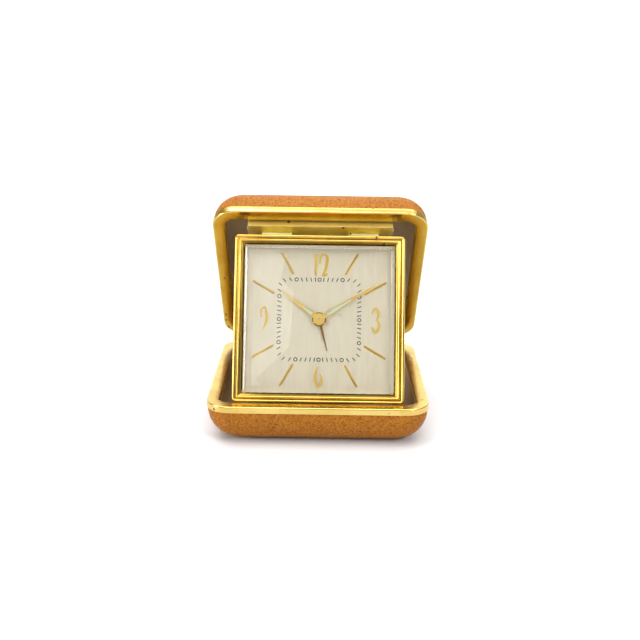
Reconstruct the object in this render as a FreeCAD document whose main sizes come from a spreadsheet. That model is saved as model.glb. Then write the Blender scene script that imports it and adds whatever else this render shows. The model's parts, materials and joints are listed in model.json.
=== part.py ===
import FreeCAD, Part
import math
import os

import Sketcher

# Travel alarm clock: two hinged case halves with a square clock that folds into the lid.
# Row frame: origin at the centre of the flat underside, +X right, +Y back, +Z up, millimetres.

V = FreeCAD.Vector
doc = FreeCAD.newDocument("travel_alarm_clock")
sheet = doc.addObject("Spreadsheet::Sheet", "dims")
nodes = []


class Dim:
    """A size that carries its value and the spreadsheet formula it comes from."""

    def __init__(self, value, text):
        self.value = value
        self.text = text

    def join(self, other, sign, value):
        return Dim(value, "(" + self.text + " " + sign + " " + formula(other) + ")")

    def __add__(self, other):
        return self.join(other, "+", self.value + value_of(other))

    def __sub__(self, other):
        return self.join(other, "-", self.value - value_of(other))

    def __mul__(self, other):
        return self.join(other, "*", self.value * value_of(other))

    def __truediv__(self, other):
        return self.join(other, "/", self.value / value_of(other))

    def __rsub__(self, other):
        return Dim(other, repr(other)).join(self, "-", other - self.value)

    def __neg__(self):
        return Dim(-self.value, "(0 - " + self.text + ")")

    __radd__ = __add__
    __rmul__ = __mul__


def value_of(size):
    return size.value if isinstance(size, Dim) else float(size)


def formula(size):
    return size.text if isinstance(size, Dim) else repr(round(float(size), 6))


def dim(name, value):
    """Write one driving size into the sheet and return it."""
    row = str(dim.row)
    dim.row += 1
    sheet.set("A" + row, name)
    sheet.set("B" + row, str(value))
    sheet.setAlias("B" + row, name)
    return Dim(float(value), "dims." + name)


dim.row = 1


def sine(angle):
    return Dim(math.sin(math.radians(angle.value)), "sin(" + angle.text + ")")


def cosine(angle):
    return Dim(math.cos(math.radians(angle.value)), "cos(" + angle.text + ")")


# ---------------------------------------------------------------- driving sizes
case_width = dim("case_width", 72)
case_depth = dim("case_depth", 71.5)
case_corner = dim("case_corner", 8)
half_height = dim("half_height", 13.5)
lid_opening = dim("lid_opening", 51.28)
hinge_gap = dim("hinge_gap", 2.55)
band_height = dim("band_height", 2.1)
band_wall = dim("band_wall", 0.5)
flange_width = dim("flange_width", 4.4)
flange_thick = dim("flange_thick", 0.6)
flange_lip = dim("flange_lip", 1.3)
cover_inset = dim("cover_inset", 0.3)
cover_thick = dim("cover_thick", 0.78)
shell_thick = dim("shell_thick", 0.78)
lining_thick = dim("lining_thick", 0.5)
glue_gap = dim("glue_gap", 0.02)
dome_reach = dim("dome_reach", 10)
floor_corner = dim("floor_corner", 4)

frame_width = dim("frame_width", 55.6)
frame_height = dim("frame_height", 54.8)
frame_depth = dim("frame_depth", 4.8)
frame_lean = dim("frame_lean", 21.4)
opening_width = dim("opening_width", 50)
opening_height = dim("opening_height", 49.2)
pivot_rise = dim("pivot_rise", 30.8)
pivot_back = dim("pivot_back", 2.8)
pivot_inset = dim("pivot_inset", 8.2)
housing_width = dim("housing_width", 51.6)
housing_height = dim("housing_height", 50.8)
housing_wall = dim("housing_wall", 0.6)
housing_depth = dim("housing_depth", 10.2)
cover_plate = dim("cover_plate", 0.6)
plate_size = dim("plate_size", 42)
plate_thick = dim("plate_thick", 0.8)
front_plate_top = dim("front_plate_top", -2.0)
back_plate_top = dim("back_plate_top", -8.0)
minute_reach = dim("minute_reach", 21.6)
hour_reach = dim("hour_reach", 15.8)
alarm_reach = dim("alarm_reach", 10.6)
baton_length = dim("baton_length", 8.2)
baton_start = dim("baton_start", 17)
run_gap = dim("run_gap", 0.04)

barrel_module = dim("barrel_module", 0.33)
centre_module = dim("centre_module", 0.25)
third_module = dim("third_module", 0.22)
fourth_module = dim("fourth_module", 0.18)
minute_module = dim("minute_module", 0.25)
hour_module = dim("hour_module", 0.24)
alarm_module = dim("alarm_module", 0.24)
striking_module = dim("striking_module", 0.3)
doc.recompute()


# ---------------------------------------------------------------- frames
class Frame:
    """A frame turned about the X axis; every part is placed in one of three of these."""

    def __init__(self, y, z, axis, angle):
        self.y = y
        self.z = z
        self.axis = axis
        self.angle = angle
        self.sin = sine(angle) * axis
        self.cos = cosine(angle)

    def point(self, u, v, w):
        y = self.y + self.cos * v - self.sin * w
        z = self.z + self.sin * v + self.cos * w
        return u, y, z


square = Dim(0.0, "0")
BASE = Frame(Dim(0.0, "0"), Dim(0.0, "0"), 1, square)
LID = Frame(case_depth / 2 + hinge_gap, half_height * 1, -1, lid_opening)
pivot = LID.point(0, pivot_inset - case_depth - hinge_gap, 0)
face_turn = 90 - frame_lean
CLOCK = Frame(Dim(0.0, "0"), Dim(0.0, "0"), 1, face_turn)
below_pivot = CLOCK.point(0, -pivot_rise, pivot_back)
CLOCK.y = pivot[1] + below_pivot[1]
CLOCK.z = pivot[2] + below_pivot[2]


def bind(obj, prop, size):
    if isinstance(size, Dim):
        obj.setExpression(prop, size.text)


def place(obj, frame, u=0, v=0, w=0):
    """Put an object into a frame at (u, v, w) and bind the placement to the sheet."""
    x, y, z = frame.point(u, v, w)
    turn = FreeCAD.Rotation(V(frame.axis, 0, 0), value_of(frame.angle))
    obj.Placement = FreeCAD.Placement(V(value_of(x), value_of(y), value_of(z)), turn)
    for axis, size in (("x", x), ("y", y), ("z", z)):
        bind(obj, "Placement.Base." + axis, size)


def node(obj, frame=None, u=0, v=0, w=0):
    """Register a finished sub-part under its own label."""
    if frame is not None:
        place(obj, frame, u, v, w)
    nodes.append(obj)
    return obj


# ---------------------------------------------------------------- sketch shapes
def hold(sk, kind, refs, size):
    index = sk.addConstraint(Sketcher.Constraint(kind, *refs, value_of(size)))
    if isinstance(size, Dim):
        sk.setExpression("Constraints[" + str(index) + "]", size.text)


def locate(sk, geo, pos, x, y):
    """Fix a point of the sketch by its two coordinates."""
    for kind, size, axis in (("DistanceX", x, -2), ("DistanceY", y, -1)):
        if value_of(size) == 0:
            sk.addConstraint(Sketcher.Constraint("PointOnObject", geo, pos, axis))
        else:
            hold(sk, kind, (-1, 1, geo, pos), size)


def circle(radius, x=0, y=0):
    def draw(sk):
        shape = Part.Circle(V(value_of(x), value_of(y), 0), V(0, 0, 1), value_of(radius))
        geo = sk.addGeometry(shape, False)
        hold(sk, "Radius", (geo,), radius)
        locate(sk, geo, 3, x, y)
    return draw


def polygon(points):
    def draw(sk):
        first = sk.GeometryCount
        count = len(points)
        corners = [V(value_of(x), value_of(y), 0) for x, y in points]
        for i in range(count):
            sk.addGeometry(Part.LineSegment(corners[i], corners[(i + 1) % count]), False)
        for i in range(count):
            follower = first + (i + 1) % count
            sk.addConstraint(Sketcher.Constraint("Coincident", first + i, 2, follower, 1))
            locate(sk, first + i, 1, *points[i])
    return draw


def rounded(width, height, radius):
    """Rectangle with round corners centred on the origin."""
    def draw(sk):
        first = sk.GeometryCount
        x, y, r = value_of(width) / 2, value_of(height) / 2, value_of(radius)
        sides = (
            ((r - x, -y), (x - r, -y), (x - r, r - y), -90),
            ((x, r - y), (x, y - r), (x - r, y - r), 0),
            ((x - r, y), (r - x, y), (r - x, y - r), 90),
            ((-x, y - r), (-x, r - y), (r - x, r - y), 180),
        )
        for start, end, centre, angle in sides:
            sk.addGeometry(Part.LineSegment(V(*start, 0), V(*end, 0)), False)
            full = Part.Circle(V(*centre, 0), V(0, 0, 1), r)
            arc = Part.ArcOfCircle(full, math.radians(angle), math.radians(angle + 90))
            sk.addGeometry(arc, False)
        for i in range(4):
            line = first + 2 * i
            follower = first + (2 * i + 2) % 8
            sk.addConstraint(Sketcher.Constraint("Tangent", line, 2, line + 1, 1))
            sk.addConstraint(Sketcher.Constraint("Tangent", line + 1, 2, follower, 1))
            kind = "Horizontal" if i % 2 == 0 else "Vertical"
            sk.addConstraint(Sketcher.Constraint(kind, line))
        for i in range(1, 4):
            sk.addConstraint(Sketcher.Constraint("Equal", first + 1, first + 1 + 2 * i))
        sk.addConstraint(Sketcher.Constraint("Symmetric", first, 1, first + 4, 1, -1, 1))
        hold(sk, "Radius", (first + 1,), radius)
        hold(sk, "DistanceX", (first + 6, 1, first + 2, 1), width)
        hold(sk, "DistanceY", (first, 1, first + 4, 1), height)
    return draw


# ---------------------------------------------------------------- body features
def new_body(label):
    body = doc.addObject("PartDesign::Body", label)
    body.Label = label
    return body


def add_sketch(body, name, low, shapes, turn=0):
    sk = body.newObject("Sketcher::SketchObject", name + "_sketch")
    planes = [f for f in body.Origin.OriginFeatures if f.Role == "XY_Plane"]
    sk.AttachmentSupport = [(planes[0], "")]
    sk.MapMode = "FlatFace"
    spin = FreeCAD.Rotation(V(0, 0, 1), value_of(turn))
    sk.AttachmentOffset = FreeCAD.Placement(V(0, 0, value_of(low)), spin)
    bind(sk, "AttachmentOffset.Base.z", low)
    for draw in shapes:
        draw(sk)
    return sk


def prism(body, name, low, height, shapes, cut=False, turn=0):
    """Pad or pocket running up from a sketch at the given height."""
    sk = add_sketch(body, name, low, shapes, turn)
    kind = "PartDesign::Pocket" if cut else "PartDesign::Pad"
    feature = body.newObject(kind, name)
    feature.Profile = sk
    feature.Length = value_of(height)
    bind(feature, "Length", height)
    feature.Reversed = cut
    sk.Visibility = False
    return feature


def pattern(body, name, feature, count):
    """Repeat one feature round the body's Z axis."""
    ring = body.newObject("PartDesign::PolarPattern", name)
    ring.Originals = [feature]
    ring.Axis = (feature.Profile[0], ["N_Axis"])
    ring.Angle = 360
    ring.Occurrences = count
    body.Tip = ring
    return ring


def edges_at(feature, w, span=None):
    """Names of a feature's edges that lie in the plane at height w."""
    doc.recompute()
    names = []
    for i, edge in enumerate(feature.Shape.Edges):
        box = edge.BoundBox
        flat = abs(box.ZMin - w) < 1e-4 and abs(box.ZMax - w) < 1e-4
        if flat and (span is None or abs(max(box.XMax, -box.XMin) - span) < 1.5):
            names.append("Edge" + str(i + 1))
    return names


def soften(body, name, feature, w, size, second=None, span=None):
    """Fillet (one size) or bevel (two sizes) the edges lying at height w."""
    kind = "PartDesign::Fillet" if second is None else "PartDesign::Chamfer"
    edge_names = edges_at(feature, w, span)
    result = body.newObject(kind, name)
    result.Base = (feature, edge_names)
    if second is None:
        result.Radius = size
    else:
        result.ChamferType = 1
        result.Size = size
        result.Size2 = second
    return result


# ---------------------------------------------------------------- primitives
def solid_box(name, x, y, z, dx, dy, dz):
    box = doc.addObject("Part::Box", name)
    for prop, size in (("Length", dx), ("Width", dy), ("Height", dz)):
        setattr(box, prop, value_of(size))
        bind(box, prop, size)
    box.Placement = FreeCAD.Placement(V(*map(value_of, (x, y, z))), FreeCAD.Rotation())
    for axis, size in (("x", x), ("y", y), ("z", z)):
        bind(box, "Placement.Base." + axis, size)
    return box


def rod(name, x, y, z, radius, length, along="Z"):
    bar = doc.addObject("Part::Cylinder", name)
    bar.Radius = value_of(radius)
    bar.Height = value_of(length)
    bind(bar, "Radius", radius)
    bind(bar, "Height", length)
    target = {"X": V(1, 0, 0), "Y": V(0, 1, 0), "Z": V(0, 0, 1)}[along]
    turn = FreeCAD.Rotation(V(0, 0, 1), target)
    bar.Placement = FreeCAD.Placement(V(*map(value_of, (x, y, z))), turn)
    for axis, size in (("x", x), ("y", y), ("z", z)):
        bind(bar, "Placement.Base." + axis, size)
    return bar


def fuse(label, parts):
    joined = doc.addObject("Part::MultiFuse", label)
    joined.Shapes = parts
    joined.Refine = True
    return joined


def cut(label, base, tool):
    result = doc.addObject("Part::Cut", label)
    result.Base = base
    result.Tool = tool
    result.Refine = True
    return result


def group(label, parts):
    compound = doc.addObject("Part::Compound", label)
    compound.Links = parts
    return compound


# ---------------------------------------------------------------- case halves
def dome(body, name, offset, start_depth, cut_away):
    """Loft one quarter-ellipse skin of a case half, rim plane up, flat floor down."""
    sections = []
    drop = half_height - band_height - offset
    top = value_of(start_depth - band_height) / value_of(drop)
    first = math.asin(max(0.0, top))
    steps = 6
    for i in range(steps + 1):
        angle = first + (math.pi / 2 - first) * i / steps
        c = round(math.cos(angle), 6)
        s = round(math.sin(angle), 6)
        inset = cover_inset + offset + (dome_reach - offset) * (1 - c)
        radius = floor_corner + (case_corner - cover_inset - offset - floor_corner) * c
        depth = start_depth if i == 0 else band_height + drop * s
        shape = rounded(case_width - inset * 2, case_depth - inset * 2, radius)
        section = name + "_" + str(i)
        sections.append(add_sketch(body, section, half_height - depth, [shape]))
    kind = "PartDesign::SubtractiveLoft" if cut_away else "PartDesign::AdditiveLoft"
    loft = body.newObject(kind, name)
    loft.Profile = sections[0]
    loft.Sections = sections[1:]
    return loft


def case_skin(label, outer, thick, start_depth, frame, collar=False):
    """One shell layer; a collar carries the metal shell up under the rim flange."""
    body = new_body(label)
    dome(body, label + "_out", outer, start_depth, False)
    if collar:
        inset = cover_inset + outer
        side = rounded(case_width - inset * 2, case_depth - inset * 2, case_corner - inset)
        rise = band_height - flange_thick
        prism(body, label + "_collar", half_height - band_height, rise, [side])
        inset = inset + thick
        side = rounded(case_width - inset * 2, case_depth - inset * 2, case_corner - inset)
        prism(body, label + "_bore", half_height - band_height, rise, [side], cut=True)
    dome(body, label + "_in", outer + thick, start_depth, True)
    place_half(body, frame)
    nodes.append(body)
    return body


def place_half(obj, frame):
    """Base parts stand as drawn; lid parts are the same shape turned over about the hinge."""
    if frame is BASE:
        place(obj, BASE)
        return
    x, y, z = LID.point(0, -(case_depth / 2 + hinge_gap), half_height)
    over = FreeCAD.Rotation(V(0, 1, 0), 180)
    turn = FreeCAD.Rotation(V(-1, 0, 0), lid_opening.value)
    obj.Placement = FreeCAD.Placement(V(0, y.value, z.value), turn.multiply(over))
    bind(obj, "Placement.Base.y", y)
    bind(obj, "Placement.Base.z", z)


def case_rim(label, frame):
    """Brass rim: outer band, flat flange and a turned-down inner lip."""
    body = new_body(label)
    low = half_height - band_height
    inner = flange_width * 2
    lip_wall = 0.5
    prism(body, label + "_blank", low, band_height,
          [rounded(case_width, case_depth, case_corner)])
    opening = rounded(case_width - inner, case_depth - inner, case_corner - flange_width)
    prism(body, label + "_opening", low, band_height, [opening], cut=True)
    wall = band_wall * 2
    inside = rounded(case_width - wall, case_depth - wall, case_corner - band_wall)
    prism(body, label + "_skirt", low, band_height - flange_lip, [inside], cut=True)
    lip = (flange_width - lip_wall) * 2
    kept = rounded(case_width - lip, case_depth - lip, case_corner - flange_width + lip_wall)
    channel = prism(body, label + "_channel", low, band_height - flange_thick,
                    [inside, kept], cut=True)
    soften(body, label + "_roll", channel, half_height.value, 0.4)
    place_half(body, frame)
    nodes.append(body)
    return body


def case_hinge_leaf(label, frame, knuckles):
    """Leaf on the rear band with barrels; the spans list gives each knuckle's x range."""
    rear = case_depth / 2
    axis = rear + hinge_gap
    up = 1 if frame is LID else -1
    plate_low = half_height + (0.3 if up > 0 else -2.1)
    parts = [solid_box(label + "_plate", -23, rear, plate_low, 46, 0.6, 1.8)]
    for i, (start, end) in enumerate(knuckles):
        arm_low = half_height + (0.3 if up > 0 else -1.3)
        tag = label + "_" + str(i)
        parts.append(solid_box(tag + "_arm", start, rear, arm_low, end - start, hinge_gap, 1.0))
        parts.append(rod(tag + "_barrel", start, axis, half_height, 1.6, end - start, "X"))
    leaf = fuse(label + "_solid", parts)
    bore = rod(label + "_bore", -24, axis, half_height, 0.8 + run_gap, 48, "X")
    result = cut(label, leaf, bore)
    if frame is LID:
        x, y, z = LID.point(0, -axis, -half_height)
        turn = FreeCAD.Rotation(V(-1, 0, 0), lid_opening.value)
        result.Placement = FreeCAD.Placement(V(0, y.value, z.value), turn)
        bind(result, "Placement.Base.y", y)
        bind(result, "Placement.Base.z", z)
    nodes.append(result)
    return result


no_offset = Dim(0.0, "0")
lining_top = flange_lip + 1.7
for half, half_frame in (("base", BASE), ("lid", LID)):
    case_skin(half + "_cover", no_offset, cover_thick, band_height, half_frame)
    shell_outer = cover_thick + glue_gap
    case_skin(half + "_shell", shell_outer, shell_thick, band_height, half_frame, collar=True)
    lining_outer = shell_outer + shell_thick + glue_gap
    case_skin(half + "_lining", lining_outer, lining_thick, lining_top, half_frame)
    case_rim(half + "_rim", half_frame)

case_hinge_leaf("base_hinge_leaf", BASE, [(-22.8, -13.1), (-4.9, 4.9), (13.1, 22.8)])
case_hinge_leaf("lid_hinge_leaf", LID, [(-12.9, -5.1), (5.1, 12.9)])
node(rod("case_hinge_pin", -23.5, case_depth / 2 + hinge_gap, half_height, 0.8, 47, "X"))

# ---------------------------------------------------------------- clock hinge on the lid
strip_y = pivot_inset - case_depth - hinge_gap
edge_y = -(case_depth + hinge_gap)
knuckle_x = 14.4
knuckle_half = 5.0
leaf_half = 24.0


def lid_strip():
    """Stepped brass strip under the lid flange, with barrels either side of the knuckles."""
    foot = solid_box("strip_foot", -leaf_half, edge_y + 2.3, 1.35, leaf_half * 2, 3.3, 0.6)
    riser = solid_box("strip_riser", -leaf_half, edge_y + 5.0, -1.9, leaf_half * 2, 0.6, 3.85)
    face_long = strip_y + 1.7 - (edge_y + 5.0)
    face = solid_box("strip_face", -leaf_half, edge_y + 5.0, -1.9, leaf_half * 2, face_long, 0.5)
    barrel = rod("strip_barrel", -leaf_half, strip_y, 0, 1.45, leaf_half * 2, "X")
    solid = fuse("strip_solid", [foot, riser, face, barrel])
    gap = 0.15
    notches = []
    for side in (-1, 1):
        start = side * knuckle_x - knuckle_half - gap
        name = "strip_notch_" + ("left" if side < 0 else "right")
        width = (knuckle_half + gap) * 2
        notches.append(solid_box(name, start, strip_y - 1.7, -1.4, width, 5, 4))
        notches.append(solid_box(name + "_slot", start, strip_y - 0.3, -2, width, 5, 4))
    bore = rod("strip_bore", -leaf_half - 1, strip_y, 0, 0.6, leaf_half * 2 + 2, "X")
    holes = [rod("rivet_hole_" + str(i), x, edge_y + 3.0, 1, 0.6, 2)
             for i, x in enumerate((-20, 0, 20))]
    tool = fuse("strip_tool", notches + [bore] + holes)
    return cut("clock_hinge_strip", solid, tool)


node(lid_strip(), LID)
pin_length = leaf_half * 2 + 0.8
node(rod("clock_hinge_pin", -leaf_half - 0.4, 0, 0, 0.6, pin_length, "X"))
place(nodes[-1], LID, -leaf_half - 0.4, strip_y, 0)
turned = FreeCAD.Rotation(V(0, 0, 1), V(1, 0, 0))
nodes[-1].Placement = FreeCAD.Placement(nodes[-1].Placement.Base, turned)
rivets = []
for i, x in enumerate((-20, 0, 20)):
    shank = rod("rivet_shank_" + str(i), x, edge_y + 3.0, flange_thick, 0.6, 1.35)
    head = rod("rivet_head_" + str(i), x, edge_y + 3.0, 1.95, 0.9, 0.5)
    rivets.append(fuse("rivet_" + str(i), [shank, head]))
node(group("strip_rivets", rivets), LID)

# ---------------------------------------------------------------- clock case
bezel = new_body("clock_bezel")
bezel_blank = prism(bezel, "bezel_blank", 0, frame_depth,
                    [rounded(frame_width, frame_height, 1.2)])
soften(bezel, "bezel_edge", bezel_blank, frame_depth.value, 0.35)
prism(bezel, "bezel_ledge", 0, frame_depth,
      [rounded(opening_width - 1.6, opening_height - 1.6, 0.8)], cut=True)
prism(bezel, "bezel_seat", 2.6, frame_depth,
      [rounded(opening_width, opening_height, 1.0)], cut=True)
prism(bezel, "bezel_groove", frame_depth - 0.55, 1.0,
      [rounded(frame_width - 3.0, frame_height - 3.0, 0.9),
       rounded(frame_width - 3.7, frame_height - 3.7, 0.7)], cut=True)
node(bezel, CLOCK)

crystal = new_body("crystal")
crystal_top = 4.6
crystal_pad = prism(crystal, "crystal_pad", 2.65, crystal_top - 2.65,
                    [rounded(opening_width - 0.2, opening_height - 0.2, 0.9)])
soften(crystal, "crystal_bevel", crystal_pad, crystal_top, 0.9, 0.9)
node(crystal, CLOCK)

dial = new_body("dial")
dial_width = housing_width - housing_wall * 2 - 0.2
dial_height = housing_height - housing_wall * 2 - 0.2
prism(dial, "dial_plate", -0.4, 0.4, [rounded(dial_width, dial_height, 1.2)])
foot_at = 18
feet = [circle(1.0, x, y) for x in (-foot_at, foot_at) for y in (-foot_at, foot_at)]
prism(dial, "dial_feet", front_plate_top, -0.35 - front_plate_top, feet)
prism(dial, "dial_hole", -0.5, 1.0, [circle(1.56)], cut=True)
node(dial, CLOCK)

batons = []
for hour in (1, 2, 4, 5, 7, 8, 10, 11):
    bar = doc.addObject("Part::Wedge", "baton_" + str(hour))
    bar.Xmin = 0
    bar.X2min = 0.15
    bind(bar, "Xmax", baton_length)
    bind(bar, "X2max", baton_length - 0.15)
    bar.Ymin = 0
    bar.Ymax = 0.4
    bar.Zmin = -0.4
    bar.Zmax = 0.4
    bar.Z2min = -0.04
    bar.Z2max = 0.04
    spin = FreeCAD.Rotation(V(0, 0, 1), 90 - 30 * hour)
    upright = spin * FreeCAD.Rotation(V(1, 0, 0), 90)
    bar.Placement = FreeCAD.Placement(spin.multVec(V(baton_start.value, 0, 0)), upright)
    batons.append(bar)
node(group("dial_batons", batons), CLOCK)


def stroke(points, widths):
    """Flat pen stroke: two splines either side of a spine, closed at both ends."""
    spine = Part.BSplineCurve()
    spine.interpolate([V(x, y, 0) for x, y in points])
    left = []
    right = []
    samples = 4 * (len(points) - 1)
    for i in range(samples + 1):
        t = spine.FirstParameter + (spine.LastParameter - spine.FirstParameter) * i / samples
        place_on = (len(widths) - 1) * i / samples
        k = min(int(place_on), len(widths) - 2)
        half = (widths[k] + (widths[k + 1] - widths[k]) * (place_on - k)) / 2
        tangent = spine.tangent(t)[0]
        side = V(-tangent.y, tangent.x, 0) * half
        left.append(spine.value(t) + side)
        right.append(spine.value(t) - side)
    edges = []
    for row in (left, right[::-1]):
        curve = Part.BSplineCurve()
        curve.interpolate(row)
        edges.append(curve.toShape())
    edges.insert(1, Part.LineSegment(left[-1], right[-1]).toShape())
    edges.append(Part.LineSegment(right[0], left[0]).toShape())
    face = Part.Face(Part.Wire(Part.__sortEdges__(edges)))
    return face.extrude(V(0, 0, 0.35))


def numerals():
    """Slim pen-drawn 12, 3, 6 and 9, one solid per stroke."""
    thin, mid, wide = 0.34, 0.62, 0.92
    stem = stroke([(-1.15, 21.6), (-1.2, 18.0), (-1.25, 14.5)], [wide, wide, mid])
    flag = stroke([(-1.9, 20.6), (-1.6, 21.1), (-1.2, 21.5)], [thin, mid, mid])
    one = stem.fuse(flag)
    bow = stroke([(0.1, 18.3), (0.3, 20.1), (1.2, 21.5), (2.2, 20.9), (2.4, 19.2), (2.0, 16.9),
                  (1.0, 14.7)], [thin, mid, mid, wide, wide, wide, mid])
    foot = stroke([(0.7, 14.6), (1.6, 14.6), (2.6, 14.9)], [mid, wide, mid])
    two = bow.fuse(foot)
    upper = stroke([(17.3, 1.9), (17.6, 3.1), (18.4, 3.8), (19.3, 2.5), (19.1, 0.8),
                    (18.5, 0.0)], [thin, mid, mid, wide, mid, thin])
    lower = stroke([(18.4, 0.1), (19.2, -0.5), (19.5, -1.6), (19.2, -3.1), (18.4, -3.9),
                    (17.6, -3.2), (17.3, -2.1)], [thin, mid, wide, wide, wide, mid, thin])
    three = upper.fuse(lower)
    six = stroke([(0.05, -15.3), (-0.75, -16.9), (-1.05, -18.9), (-0.65, -20.8), (0.05, -21.8),
                  (0.8, -20.8), (1.05, -19.2), (0.5, -17.7)],
                 [thin, mid, wide, wide, mid, wide, mid, thin])
    nine = stroke([(-18.6, 0.5), (-18.95, 2.0), (-18.5, 3.4), (-17.9, 3.8), (-17.2, 2.4),
                   (-16.95, 0.2), (-17.45, -1.8), (-18.2, -3.3)],
                  [thin, mid, mid, mid, wide, wide, mid, thin])
    solids = []
    for figure in (one, two, three, six, nine):
        solids.extend(figure.removeSplitter().Solids)
    return Part.makeCompound(solids)


figures = doc.addObject("Part::Feature", "dial_numerals")
figures.Shape = numerals()
node(figures, CLOCK)

screw_at = [(x, y) for x in (-24.0, 24.0) for y in (-23.6, 23.6)]
housing = new_body("clock_housing")
prism(housing, "housing_tube", -housing_depth, housing_depth,
      [rounded(housing_width, housing_height, 2.0)])
prism(housing, "housing_bore", -housing_depth - 1, housing_depth + 2,
      [rounded(housing_width - housing_wall * 2, housing_height - housing_wall * 2, 1.4)],
      cut=True)
posts = [circle(1.5, x, y) for x, y in screw_at]
prism(housing, "housing_posts", -housing_depth, 6.0, posts)
tapped = [circle(0.5, x, y) for x, y in screw_at]
prism(housing, "housing_taps", -housing_depth - 0.1, 4.1, tapped, cut=True)
node(housing, CLOCK)


def hinge_ear():
    """Leaf soldered to the housing top with two tabs rolled round the pivot."""
    back = -pivot_back
    top = housing_height / 2
    parts = [solid_box("ear_leaf", -20, top, -7.5, 40, 0.6, 7.4)]
    bores = []
    for side in (-1, 1):
        tag = "ear_left" if side < 0 else "ear_right"
        start = side * knuckle_x - knuckle_half
        wide = knuckle_half * 2
        parts.append(solid_box(tag + "_tab", start, top, back - 0.4, wide, pivot_rise - top, 0.8))
        parts.append(rod(tag + "_roll", start, pivot_rise, back, 1.25, wide, "X"))
        bores.append(rod(tag + "_bore", start - 1, pivot_rise, back, 0.6 + run_gap, wide + 2, "X"))
    return cut("clock_hinge_ear", fuse("ear_solid", parts), fuse("ear_bores", bores))


node(hinge_ear(), CLOCK)

# ---------------------------------------------------------------- movement positions
lower_left = (-11.78, -4.29)
third_at = (4.5, 7.79)
fourth_at = (0.76, 14.27)
escape_at = (-6.17, 14.27)
pallet_at = (-11.8, 12.2)
balance_at = (-17.5, 9.0)
setting_at = (0, -9.0)
minute_at = (4.243, -4.243)
alarm_barrel_at = (12.5, -8.5)
striker_at = (14.27, 1.54)
hammer_at = (19.3, 6.4)

back_cover = new_body("back_cover")
cover_low = -housing_depth - cover_plate
prism(back_cover, "back_cover_plate", cover_low, cover_plate,
      [rounded(housing_width, housing_height, 2.0)])
key_hole = 1.3
prism(back_cover, "back_cover_holes", cover_low - 0.1, 1.0,
      [circle(0.9), circle(0.9, *setting_at), circle(key_hole, *lower_left),
       circle(key_hole, *alarm_barrel_at)] + [circle(0.6, x, y) for x, y in screw_at], cut=True)
slot_at = balance_at[1] + 5.1
prism(back_cover, "regulator_slot", cover_low - 0.1, 1.0,
      [polygon([(-20.5, slot_at), (-14.5, slot_at), (-14.5, slot_at + 1.9),
                (-20.5, slot_at + 1.9)])], cut=True)
node(back_cover, CLOCK)
screws = []
for i, (x, y) in enumerate(screw_at):
    head = rod("cover_head_" + str(i), x, y, cover_low - 0.5, 1.0, 0.5)
    stem = rod("cover_stem_" + str(i), x, y, cover_low, 0.5, 3.5)
    slot = solid_box("cover_slot_" + str(i), x - 1.2, y - 0.12, cover_low - 0.6, 2.4, 0.24, 0.35)
    screws.append(cut("cover_screw_" + str(i), fuse("cover_blank_" + str(i), [head, stem]), slot))
node(group("back_cover_screws", screws), CLOCK)

corner_at = 18.5
corners = [(x, y) for x in (-corner_at, corner_at) for y in (-corner_at, corner_at)]
pivots = [third_at, fourth_at, escape_at, pallet_at, striker_at, hammer_at]
pivot_hole = 0.36
spindle_hole = 0.72


gong_at = (13.6, 17.0)


def movement_plate(label, top, extra):
    body = new_body(label)
    prism(body, label + "_plate", top - plate_thick, plate_thick,
          [rounded(plate_size, plate_size, 3.0)])
    holes = [circle(pivot_hole, *at) for at in pivots]
    holes += [circle(spindle_hole, *setting_at)]
    holes += [circle(0.6, *at) for at in corners]
    prism(body, label + "_holes", top - plate_thick - 0.1, 1.0, holes + extra, cut=True)
    return node(body, CLOCK)


movement_plate("front_plate", front_plate_top,
               [circle(0.54), circle(pivot_hole, *balance_at), circle(1.24, *lower_left),
                circle(1.24, *alarm_barrel_at), circle(0.36, *minute_at)])
movement_plate("back_plate", back_plate_top,
               [circle(0.54), circle(3.0, *balance_at), circle(1.3, *gong_at),
                circle(1.24, *lower_left), circle(1.24, *alarm_barrel_at)])

between = front_plate_top - plate_thick - back_plate_top
pillar_parts = []
nut_parts = []
for i, (x, y) in enumerate(corners):
    low = back_plate_top
    post = rod("pillar_post_" + str(i), x, y, low, 1.4, between)
    ends = rod("pillar_ends_" + str(i), x, y, low - 0.8, 0.6, between + 1.6)
    pillar_parts.append(fuse("pillar_" + str(i), [post, ends]))
    nut = doc.addObject("Part::Prism", "nut_" + str(i))
    nut.Polygon = 6
    nut.Circumradius = 1.7
    nut.Height = housing_depth.value - 8.8
    nut.Placement.Base = V(x, y, -housing_depth.value)
    nut_parts.append(nut)
node(group("pillars", pillar_parts), CLOCK)
node(group("pillar_nuts", nut_parts), CLOCK)


# ---------------------------------------------------------------- wheels
def teeth_ring(body, name, low, thick, module, count, phase):
    """Blank disc with straight-flanked teeth, first tooth at the given angle."""
    pitch = module * math.pi
    root = module * (count / 2 - 1.2)
    tip = module * (count / 2 + 0.7)
    prism(body, name + "_blank", low, thick, [circle(root)])
    foot = pitch * 0.2
    point = pitch * 0.07
    inner = root - module * 0.4
    tooth = prism(body, name + "_tooth", low, thick,
                  [polygon([(inner, -foot), (root, -foot), (tip, -point), (tip, point),
                            (root, foot), (inner, foot)])], turn=phase)
    return pattern(body, name + "_teeth", tooth, count)


def arbor(body, name, low, high, radius, pivot_radius=0.3):
    """Turned arbor with a thinner pivot at each end running in the plates."""
    prism(body, name + "_pivots", low - 0.7, high - low + 1.4, [circle(pivot_radius)])
    prism(body, name + "_shaft", low, high - low, [circle(radius)])


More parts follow.
